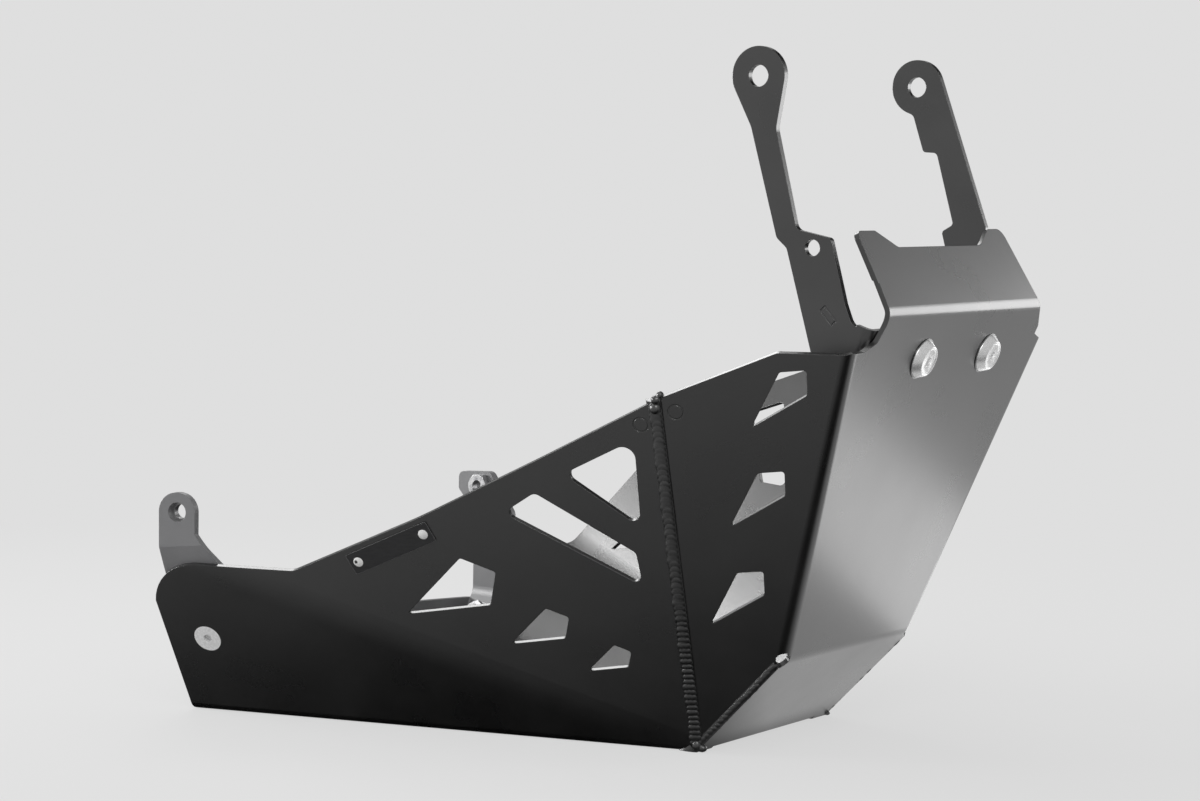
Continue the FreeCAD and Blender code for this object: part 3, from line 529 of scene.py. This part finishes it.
def weld_side(side, name, finish):
    """The two seams of one cheek with the lumps at their ends."""
    mirror = Vector((1.0, side, 1.0))
    corner = pan_point(0.0, 78.0 * side, 0.0)
    top = pan_point(11.0, 153.5 * side, 206.0)
    chin = pan_point(56.0, 79.0 * side, 57.5)
    wall_out = ((WALL_OUT + CHEEK_OUT) * mirror).normalized()
    cheek_out = CHEEK_OUT * mirror
    seam = (top - corner).normalized()
    low_seam = (chin - corner).normalized()
    aside = low_seam.cross(cheek_out)
    if aside.z < 0.0:
        aside = -aside
    pitch = 0.0033
    weld_row(
        f"wall_weld_{name}", corner + seam * 0.004, top - seam * 0.002, wall_out,
        width=0.0074, height=0.0011, pitch=pitch, finish=finish, spread=0.10, lift=0.0005,
    )
    onto_cheek = aside * 0.0026
    weld_row(
        f"chin_weld_{name}", corner + low_seam * 0.003 + onto_cheek, chin - low_seam * 0.0066 + onto_cheek, cheek_out,
        width=0.0046, height=0.0007, pitch=pitch, finish=finish, spread=0.06, lift=0.0006,
    )
    weld_knob(f"weld_ends_{name}", [
        (top + Vector((0.001, 0.0, 0.0008)), 0.0030, (1.0, 1.0, 0.9)),
        (top + Vector((0.0035, 0.0, 0.0036)), 0.0021, (1.0, 1.0, 1.0)),
        (top - seam * 0.004 + wall_out * 0.0004, 0.0034, (1.0, 0.8, 1.0)),
    ], finish)
    size = {"right": 1.0, "left": 0.6}[name]
    weld_knob(f"weld_corner_{name}", [
        (corner + Vector((0.0, 0.0, 0.0028 * size)) + wall_out * 0.0002, 0.0036 * size, (1.1, 0.8, 0.7)),
        (corner + low_seam * 0.004 * size + wall_out * 0.0005, 0.0030 * size, (1.1, 0.8, 0.8)),
        (corner + seam * 0.005 * size + wall_out * 0.0004, 0.0032 * size, (0.9, 0.8, 1.1)),
    ], finish)


# ---------------------------------------------------------------- floor and light


def pale_floor():
    """A plain pale floor that keeps a soft shadow and melts into the surroundings.

    In reflections alone it is painted: dark under the part, bright behind the chin, where it glows though it is no
    lamp, and clear on the camera's side, where the coat mirrors the sunk card instead.
    """
    deselect()
    bpy.ops.mesh.primitive_plane_add(size=14.0, location=(0.0, 0.0, -0.0002))
    floor = bpy.context.object
    floor.name = "floor"
    finish = Finish("pale_floor", grey(ROOM), 0.9)
    seen = finish.add("ShaderNodeLightPath")
    reach = finish.add("ShaderNodeVectorMath", operation="LENGTH")
    finish.link(finish.place, reach, 0)
    far = finish.between(reach.outputs["Value"], 0.35, 1.1)
    to_camera = finish.mixed(far, finish.both(finish.glow(0.6), finish.matt(0.16)), finish.glow(BACKGROUND))
    forward, leftward = finish.split()
    # Painted glow behind the chin, seen in reflections alone: the floor gives off light there though it is no lamp.
    mirrored_glow = finish.between(leftward, -0.10, 0.01, 0.0, 0.61)
    mirrored_glow = finish.combine(mirrored_glow, finish.between(forward, 0.092, 0.108), "MULTIPLY")
    # In reflections the floor near the part is painted dark: little albedo and no glow, unlike what the camera sees.
    to_metal = finish.mixed(far, finish.both(finish.glow(mirrored_glow), finish.matt(0.06)), finish.glow(ROOM))
    clear = finish.add("ShaderNodeBsdfTransparent").outputs[0]
    to_metal = finish.mixed(finish.between(leftward, -0.07, -0.09), to_metal, clear)
    shown = finish.mixed(seen.outputs["Is Glossy Ray"], finish.shader.outputs[0], to_metal)
    shown = finish.mixed(seen.outputs["Is Camera Ray"], shown, to_camera)
    finish.link(shown, finish.tree.nodes["Material Output"], "Surface")
    paint(floor, finish)


def only_mirrored(card, name, finish):
    """Makes a card part of the set that shows in reflections alone."""
    card.name = name
    for ray in ("camera", "diffuse", "shadow"):
        setattr(card, f"visible_{ray}", False)
    paint(card, finish)


def sunk_card():
    """A card below the floor, no lamp, that glows in painted shades and shows in reflections alone: the coat mirrors
    it, black under the pan, paler towards the camera.
    """
    deselect()
    bpy.ops.mesh.primitive_plane_add(size=8.0, location=(0.0, 0.0, -0.4))
    card = bpy.context.object
    finish = Finish("card_painted_glow", grey(0.0), 0.9)
    forward, leftward = finish.split()
    slant = finish.combine(finish.combine(forward, 0.08, "MINIMUM"), 0.25, "MULTIPLY")
    ahead = finish.combine(slant, leftward)
    near = finish.between(ahead, -0.43, -0.62, 0.0, 0.23)
    beyond = finish.between(ahead, -0.62, -0.85, 0.0, 0.20)
    # Painted glow: the card gives off light, graded by place, though it is no lamp.
    finish.shader.inputs["Emission Color"].default_value = (1.0, 1.0, 1.0, 1.0)
    finish.link(finish.combine(near, beyond), finish.shader, "Emission Strength")
    only_mirrored(card, "sunk_card", finish)


def dark_card(name, place, width, height):
    """A black card behind the part that the coat mirrors as a dark patch."""
    deselect()
    bpy.ops.mesh.primitive_plane_add(size=1.0)
    card = scaled(bpy.context.object, (width, height, 1.0))
    turn = (Vector(MIDDLE) - Vector(place)).to_track_quat("Z", "Y").to_matrix().to_4x4()
    card.matrix_world = Matrix.Translation(place) @ turn
    only_mirrored(card, name, Finish(f"{name}_black", grey(0.01), 0.9))


def pale_room():
    """Pale surroundings, brighter to the camera than as light and in reflections."""
    world = bpy.data.worlds.new("room")
    bpy.context.scene.world = world
    world.use_nodes = True
    tree = world.node_tree
    tree.nodes.clear()
    seen = tree.nodes.new("ShaderNodeLightPath")
    choice = tree.nodes.new("ShaderNodeMixShader")
    tree.links.new(seen.outputs["Is Camera Ray"], choice.inputs[0])
    for socket, strength in ((1, ROOM), (2, BACKGROUND)):
        ground = tree.nodes.new("ShaderNodeBackground")
        ground.inputs["Color"].default_value = (strength, strength, strength, 1.0)
        tree.links.new(ground.outputs[0], choice.inputs[socket])
    output = tree.nodes.new("ShaderNodeOutputWorld")
    tree.links.new(choice.outputs[0], output.inputs["Surface"])


def softbox(name, place, aim, width, height, power):
    """A rectangular studio lamp with its face turned to a point."""
    lamp = bpy.data.lights.new(name, "AREA")
    lamp.shape = "RECTANGLE"
    lamp.size = width
    lamp.size_y = height
    lamp.energy = power
    holder = bpy.data.objects.new(name, lamp)
    bpy.context.scene.collection.objects.link(holder)
    holder.location = place
    holder.rotation_euler = (Vector(aim) - Vector(place)).to_track_quat("-Z", "Y").to_euler()
    holder.visible_camera = False


# ---------------------------------------------------------------- making

place_camera()

# The fourth colour of each coat is its paler edge: partly wear, partly a painted edge highlight.
black_coat = coat("satin_black_coat", grey(0.004), grey(0.008), grey(0.03), 0.29, 1.0)
weld_coat = coat("weld_black_coat", grey(0.006), grey(0.010), grey(0.02), 0.36, 1.0)
grey_coat = coat("satin_grey_coat", grey(0.17, 0.005), grey(0.20, 0.005), grey(0.30), 0.40, 0.5)
zinc = zinc_steel("zinc_plated_steel")

for node in ("skid_pan", "right_arm", "left_arm"):
    paint(nodes[node], black_coat)
paint(nodes["rear_bracket"], grey_coat)
paint(nodes["blank_plate"], plate_black("black_plate"))

rivet_low, rivet_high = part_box("plate_rivets")
to_rivet = Vector((0.0028, 0.0006, 0.0029))
paint(nodes["plate_rivets"], rivet_steel("bright_rivets", [rivet_low + to_rivet, rivet_high - to_rivet]))

for side, name in SIDES:
    for node in ("ear_nut", "rear_washer", "rear_nut", "front_washer", "front_nut"):
        paint(nodes[f"{node}_{name}"], zinc)
    low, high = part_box(f"front_cup_washer_{name}")
    front_steel = turned_steel(f"turned_steel_front_{name}", (low + high) / 2, FRONT_OUT, 0.88, 0.6)
    front_fastening(name, front_steel, black_coat)
    low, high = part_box(f"rear_screw_{name}")
    rear_out = WALL_LOW_OUT * Vector((1.0, side, 1.0))
    # The rear screws get a pale non-metal copy of the turned steel, partly a dull finish and partly standing in for
    # the bright highlight on their heads.
    rear_steel_lit_copy = turned_steel(f"turned_steel_rear_{name}", (low + high) / 2, rear_out, 0.8, 0.0)
    paint(nodes[f"rear_screw_{name}"], rear_steel_lit_copy)
    weld_side(side, name, weld_coat)

pale_floor()
sunk_card()
dark_card("low_dark_card", (-0.95, 1.15, 0.32), 1.5, 0.55)
dark_card("high_dark_card", (0.15, 1.15, 1.15), 1.0, 0.8)
pale_room()

# Each with its place, the point it faces, its width and height, and its power in watts
softbox("low_back_panel", (0.42, 0.33, 0.0015), (0.42, 0.33, 1.0), 0.62, 0.26, 0.54)
softbox("back_right_softbox", (0.74, 1.35, 0.31), (0.1, 0.0, 0.15), 0.85, 0.6, 4.2)
softbox("left_softbox", (-1.35, -0.52, 0.44), (0.0, 0.1, 0.14), 1.1, 0.34, 14.0)
softbox("top_softbox", (-1.0, 0.75, 1.25), (0.0, 0.0, 0.1), 1.0, 0.7, 7.0)
softbox("front_fill", (0.9, -1.4, 1.1), (0.0, 0.0, 0.12), 0.8, 0.8, 8.0)

bpy.context.scene.view_settings.view_transform = "Standard"
